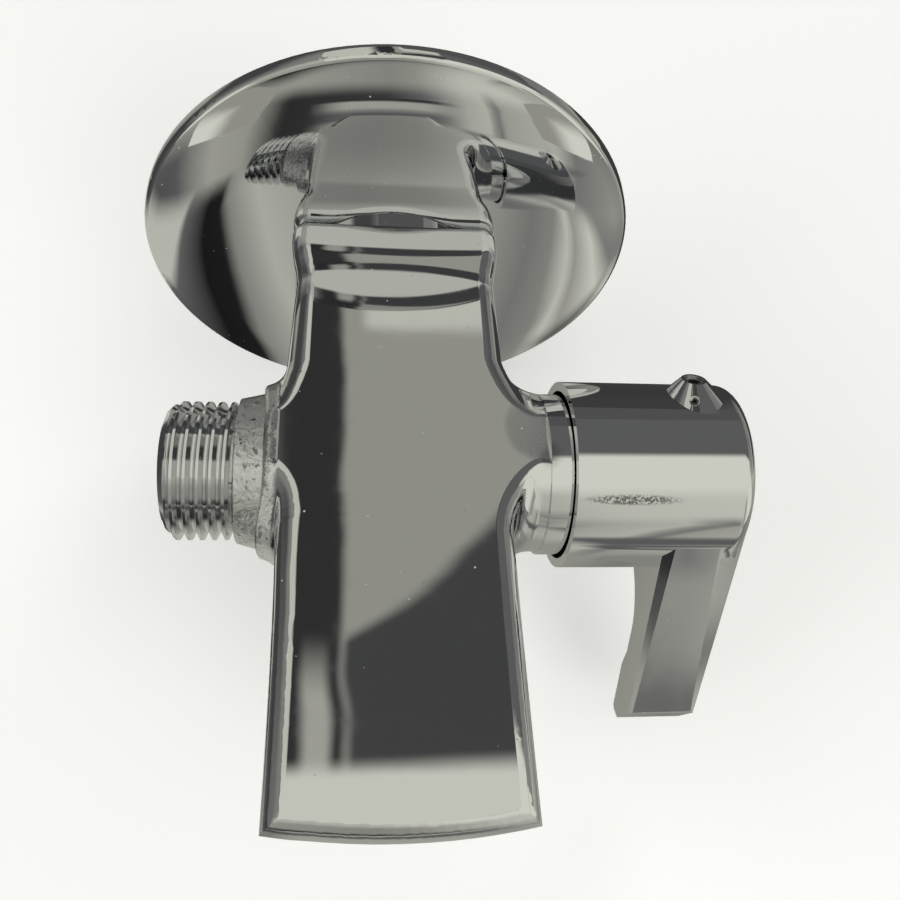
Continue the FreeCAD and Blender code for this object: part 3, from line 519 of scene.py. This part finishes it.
def threadRidge(name, length):
    # one ridge profile wound along x, closed at its ends and trimmed by the envelope;
    # with this offset the ridge winds left-handed
    low = threadSizes["core"] - threadSizes["sunk"]
    high = threadSizes["crest"]
    turns = math.ceil(length / threadSizes["pitch"]) + 1
    deselectAll()
    bpy.ops.mesh.primitive_plane_add(size=1, location=(0, 0, 0))
    ridge = bpy.context.object
    ridge.name = name
    bpy.ops.object.mode_set(mode="EDIT")
    bpy.ops.mesh.select_all(action="SELECT")
    bpy.ops.transform.resize(value=(threadSizes["rootWide"], high - low, 1), center_override=(0, 0, 0))
    bpy.ops.transform.translate(value=(0, (high + low) / 2, 0))
    bpy.ops.object.mode_set(mode="OBJECT")
    applyPlace(ridge)
    pickVerts(ridge, lambda co: co.y > (high + low) / 2)
    bpy.ops.transform.resize(value=(threadSizes["crestWide"] / threadSizes["rootWide"], 1, 1),
                             center_override=(0, high, 0))
    bpy.ops.mesh.select_all(action="SELECT")
    bpy.ops.mesh.delete(type="ONLY_FACE")
    bpy.ops.object.mode_set(mode="OBJECT")
    applyModifier(ridge, "SCREW", axis="X", angle=2 * math.pi, screw_offset=-threadSizes["pitch"],
                  iterations=turns, steps=threadSizes["steps"], render_steps=threadSizes["steps"])
    bpy.ops.object.mode_set(mode="EDIT")
    bpy.ops.mesh.select_all(action="DESELECT")
    bpy.ops.mesh.select_non_manifold()
    bpy.ops.mesh.fill_holes(sides=4)
    bpy.ops.mesh.select_all(action="SELECT")
    bpy.ops.transform.translate(value=(threadSizes["pitch"] / 2, 0, 0))
    bpy.ops.mesh.normals_make_consistent(inside=False)
    bpy.ops.object.mode_set(mode="OBJECT")
    envelope = turnedEnvelope(length)
    applyModifier(ridge, "BOOLEAN", operation="INTERSECT", object=envelope, solver="EXACT")
    bpy.data.objects.remove(envelope)
    return ridge


def finishRidge(ridge):
    makeActive(ridge)
    bpy.ops.object.mode_set(mode="EDIT")
    bpy.ops.mesh.select_all(action="SELECT")
    bpy.ops.mesh.remove_doubles(threshold=meshSizes["weld"])
    bpy.ops.mesh.normals_make_consistent(inside=False)
    bpy.ops.object.mode_set(mode="OBJECT")
    bpy.ops.object.shade_smooth_by_angle(angle=math.radians(meshSizes["ridgeAngle"]))
    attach(ridge, "valve")
    paint(ridge, "thread")


outletThread = threadRidge("outletThread", threadSizes["outletFrom"] - threadSizes["outletTo"])
outletThread.location = (threadSizes["outletFrom"], portY, 0)
applyPlace(outletThread)
finishRidge(outletThread)
inletThread = threadRidge("inletThread", threadSizes["inletTo"] - threadSizes["inletFrom"])
inletThread.rotation_euler = (0, 0, -math.pi / 2)
applyPlace(inletThread)
finishRidge(inletThread)
print("threads cut:", len(outletThread.data.polygons), len(inletThread.data.polygons), "faces")


# studio

studioSizes = {
    "floorDrop": 0.0005,
    "floorHalf": 3.0,
    "floorLift": 0.34,
    "cardHeight": 0.30,
    "cardLift": 0.002,    # the floor's card lies this far over it
    "objectMiddle": (0, -0.045, 0),
}
floorZ = cadBox[0][2] - studioSizes["floorDrop"]
deselectAll()
bpy.ops.mesh.primitive_plane_add(size=2 * studioSizes["floorHalf"], location=(0, 0, floorZ))
floor = bpy.context.object
floor.name = "studioFloor"
applyPlace(floor)
shader = newShader("paleFloor")
lightPath = shader.node("ShaderNodeLightPath")
seen = Wire(shader, lightPath.socket.node.outputs["Is Camera Ray"]) \
    + Wire(shader, lightPath.socket.node.outputs["Is Glossy Ray"]) \
    + Wire(shader, lightPath.socket.node.outputs["Is Transmission Ray"])
matte = shader.node("ShaderNodeBsdfDiffuse", None, {"Color": (0.80, 0.80, 0.80, 1)})
lift = shader.node("ShaderNodeEmission", None, {"Color": (1, 1, 1, 1), "Strength": seen * studioSizes["floorLift"]})
both = shader.node("ShaderNodeAddShader", None, [matte, lift])
shader.node("ShaderNodeOutputMaterial", None, {"Surface": both})
floor.data.materials.append(shader.owner)


def grey(level):
    # slightly warm where it is bright
    warm = min(max((level - 0.12) / 0.2, 0.0), 1.0)
    return (level, level * (1 - 0.01 * warm), level * (1 - 0.13 * warm), 1)


def glowing(name, colour):
    shader = newShader(name)
    if not isinstance(colour, tuple):
        colour = colour(shader)
    glow = shader.node("ShaderNodeEmission", None, {"Color": colour, "Strength": 1.0})
    shader.node("ShaderNodeOutputMaterial", None, {"Surface": glow})
    return shader.owner


def studioCard(name, corners, colour):
    # a card that only reflections see: corners are low and high (x, y, z), flat in one of them
    low, high = Vector(corners[0]), Vector(corners[1])
    span = high - low
    deselectAll()
    bpy.ops.mesh.primitive_plane_add(size=1, location=(low + high) / 2)
    card = bpy.context.object
    card.name = name
    if span.x == 0:
        card.rotation_euler = (0, math.pi / 2, 0)
        card.scale = (span.z, span.y, 1)
    elif span.y == 0:
        card.rotation_euler = (math.pi / 2, 0, 0)
        card.scale = (span.x, span.z, 1)
    else:
        card.scale = (span.x, span.y, 1)
    applyPlace(card)
    card.data.materials.append(glowing(name + "Glow", colour))
    card.visible_camera = False
    card.visible_diffuse = False
    card.visible_shadow = False
    card.visible_transmission = False
    return card


# how bright the room is by bearing: degrees from +Y towards +X, then a grey level
lowTones = [(-180, 0.05), (-158, 0.03), (-149, 0.38), (-138, 0.42), (-122, 0.12), (-95, 0.06),
            (-62, 0.06), (-52, 0.40), (-32, 0.45), (-20, 0.06), (26, 0.05), (40, 0.30), (88, 0.60), (100, 0.40),
            (132, 0.22), (140, 0.52), (150, 0.46), (154.5, 0.42), (156, 0.22), (157, 0.22), (158.5, 0.55),
            (163, 0.48), (172, 0.14), (180, 0.05)]
highTones = [(-180, 0.30), (-150, 0.42), (-125, 0.48), (-95, 0.20), (-60, 0.07), (0, 0.05), (24, 0.06), (36, 0.20),
             (62, 0.25), (70, 0.20), (92, 0.30), (100, 0.50), (130, 0.75), (162, 0.62), (174, 0.34), (180, 0.30)]
topTones = [(-180, 0.55), (-125, 0.50), (-95, 0.25), (0, 0.27), (60, 0.25), (90, 0.30), (105, 0.55),
            (130, 0.85), (165, 0.80), (180, 0.55)]
# how bright the floor near the valve is, by place across it in metres
floorTonesNear = [(-0.100, 0.60), (-0.078, 0.60), (-0.073, 0.14), (-0.058, 0.05), (-0.053, 0.012), (-0.044, 0.015),
                  (-0.040, 0.28), (-0.028, 0.52), (-0.010, 0.42), (0.025, 0.34), (0.039, 0.22), (0.048, 0.28),
                  (0.055, 0.62), (0.062, 0.38), (0.080, 0.70), (0.095, 0.25)]
# the same straight in front of it, by distance in metres
floorTonesFront = [(0.0, 0.42), (0.19, 0.42), (0.24, 0.13), (0.32, 0.13), (0.50, 0.42), (0.95, 0.42), (1.40, 0.04)]


def toneRamp(shader, wire, stops):
    return shader.node("ShaderNodeValToRGB", {"stops": [(place, grey(level)) for place, level in stops]}, [wire])


def roundTheRoom(shader, tones, x, y):
    turn = x.math("ARCTAN2", y) * (0.5 / math.pi) + 0.5
    return toneRamp(shader, turn, [(bearing / 360 + 0.5, level) for bearing, level in tones])


# places on the overhead card, in metres: where each tone begins and is full, and its grey level
overheadMarks = {
    "leftBright": (-0.060, -0.036), "leftLevel": 0.62, "darkLevel": 0.035,
    "streakOn": (-0.030, -0.024), "streakOff": (-0.018, -0.012), "streakEnd": (-0.050, 0.010),
    "streakShare": 0.8, "streakLevel": 0.55,
    "middle": (-0.012, -0.006), "middleLevel": 0.36,
    "lowSlope": 0.96, "lowEdge": (0.000, 0.014), "lowSide": (-0.010, -0.004), "lowLevel": 0.065,
    "tip": (-0.105, -0.085), "tipLevel": 0.72,
    "neck": (0.178, 0.188), "neckSide": (0.000, 0.008), "neckLevel": 0.62,
    "right": (0.085, 0.095), "rightLevel": 0.13, "rightFront": (-0.085, -0.045), "rightFrontLevel": 0.80,
    "back": (0.225, 0.24), "backLevel": 0.10,
    "waver": 0.012, "waverScale": 9,
}


def overheadTones(shader):
    # bright to the left, a dark edge with a streak, then even grey, a dark corner and a bright tip
    marks = overheadMarks
    x, y, z = shader.axes()
    side = x + (shader.noise(marks["waverScale"], 2.0) - 0.5) * marks["waver"]
    streak = side.between(*marks["streakOn"]) * (1 - side.between(*marks["streakOff"])) \
        * (1 - y.between(*marks["streakEnd"]))
    tone = shader.mixColour(side.between(*marks["leftBright"]), grey(marks["leftLevel"]), grey(marks["darkLevel"]))
    tone = shader.mixColour(streak * marks["streakShare"], tone, grey(marks["streakLevel"]))
    tone = shader.mixColour(side.between(*marks["middle"]), tone, grey(marks["middleLevel"]))
    slope = y - x * marks["lowSlope"]
    low = (1 - slope.between(*marks["lowEdge"])) * side.between(*marks["lowSide"])
    tone = shader.mixColour(low, tone, grey(marks["lowLevel"]))
    tone = shader.mixColour(1 - y.between(*marks["tip"]), tone, grey(marks["tipLevel"]))
    neck = y.between(*marks["neck"]) * side.between(*marks["neckSide"])
    tone = shader.mixColour(neck, tone, grey(marks["neckLevel"]))
    tone = shader.mixColour(x.between(*marks["right"]), tone, grey(marks["rightLevel"]))
    rightFront = x.between(*marks["right"]) * (1 - y.between(*marks["rightFront"]))
    tone = shader.mixColour(rightFront, tone, grey(marks["rightFrontLevel"]))
    return shader.mixColour(y.between(*marks["back"]), tone, grey(marks["backLevel"]))


# places on the floor card, in metres, and the grey levels of its darker parts
floorMarks = {
    "skew": 0.4, "skewFrom": 0.046,     # the near tones lean outwards towards the wall
    "middle": (-0.001, 0.001), "near": (0.09, 0.13), "nearScale": 5,
    "frontSpread": (0.12, 0.30), "frontFrom": (-0.05, -0.02), "frontReach": 2,
    "leverReach": (0.18, 0.24), "leverSide": (0.045, 0.060), "leverFrom": (-0.14, -0.12), "leverLevel": 0.13,
    "behind": (-0.012, 0.006), "behindSide": (0.030, 0.040), "behindLevel": 0.05,
}


def floorTones(shader):
    marks = floorMarks
    x, y, z = shader.axes()
    side = x.between(*marks["middle"]) * 2 - 1
    across = x + side * (y + marks["skewFrom"]) * marks["skew"]
    scale = marks["nearScale"]
    near = toneRamp(shader, across * scale + 0.5, [(place * scale + 0.5, level) for place, level in floorTonesNear])
    reach = (x * x + y * y).math("SQRT")
    around = roundTheRoom(shader, lowTones, x, y)
    front = toneRamp(shader, reach / marks["frontReach"],
                     [(place / marks["frontReach"], level) for place, level in floorTonesFront])
    inFront = (1 - (x / y).math("ABSOLUTE").between(*marks["frontSpread"])) * (1 - y.between(*marks["frontFrom"]))
    tone = shader.mixColour(inFront, around, front)
    underLever = (1 - reach.between(*marks["leverReach"])) * x.between(*marks["leverSide"]) \
        * (1 - y.between(*marks["leverFrom"]))
    tone = shader.mixColour(underLever, tone, grey(marks["leverLevel"]))
    tone = shader.mixColour(reach.between(*marks["near"]), near, tone)
    behind = y.between(*marks["behind"]) * x.between(*marks["behindSide"])
    return shader.mixColour(behind, tone, grey(marks["behindLevel"]))


sideMarks = {"change": (-0.25, -0.18), "frontLevel": 0.36, "besideLevel": 0.80}


def sideTones(shader):
    # a side card is brighter beside the spout than further in front
    x, y, z = shader.axes()
    return shader.mixColour(y.between(*sideMarks["change"]), grey(sideMarks["frontLevel"]),
                            grey(sideMarks["besideLevel"]))


cardHeight = studioSizes["cardHeight"]
cardFloor = floorZ + studioSizes["cardLift"]
studioCard("overheadCard", ((-0.16, -0.30, cardHeight), (0.45, 0.50, cardHeight)), overheadTones)
studioCard("floorCard", ((-3.0, -3.0, cardFloor), (3.0, 3.0, cardFloor)), floorTones)
studioCard("leftCard", ((-0.20, -0.35, -0.03), (-0.20, -0.12, 0.12)), sideTones)
studioCard("rightCard", ((0.22, -0.30, -0.03), (0.22, -0.09, 0.14)), sideTones)

world = bpy.data.worlds.new("softStudio")
bpy.context.scene.world = world
sky = Shader(world)
direction = sky.node("ShaderNodeTexCoord", output="Generated")
split = sky.node("ShaderNodeSeparateXYZ", None, [direction])
east, north, up = [Wire(sky, split.socket.node.outputs[name]) for name in ("X", "Y", "Z")]
room = sky.mixColour(up.between(0.00, 0.22), roundTheRoom(sky, lowTones, east, north),
                     roundTheRoom(sky, highTones, east, north))
room = sky.mixColour(up.between(0.50, 0.78), room, roundTheRoom(sky, topTones, east, north))
skyPath = sky.node("ShaderNodeLightPath", output="Is Camera Ray")
backdropTone = (0.92, 0.92, 0.91, 1)     # what the camera sees past the floor
room = sky.mixColour(skyPath, room, backdropTone)
background = sky.node("ShaderNodeBackground", None, {"Color": room, "Strength": 1.0})
sky.node("ShaderNodeOutputWorld", None, {"Surface": background})

lamps = {
    "leftBox": {"place": (-0.60, -0.25, 0.35), "size": (0.50, 0.40), "power": 2.2},
    "frontBox": {"place": (0.30, -0.70, 0.50), "size": (0.50, 0.35), "power": 2.2},
    "backBox": {"place": (0.45, 0.75, 0.40), "size": (0.50, 0.30), "power": 2.2},
}
for name, lamp in lamps.items():
    bpy.ops.object.light_add(type="AREA", location=lamp["place"])
    light = bpy.context.object
    light.name = name
    light.data.shape = "RECTANGLE"
    light.data.size, light.data.size_y = lamp["size"]
    light.data.energy = lamp["power"]
    light.visible_glossy = False
    aim = Vector(studioSizes["objectMiddle"]) - Vector(lamp["place"])
    light.rotation_euler = aim.to_track_quat("-Z", "Y").to_euler()
bpy.context.scene.view_settings.view_transform = "Standard"
print("studio lit")
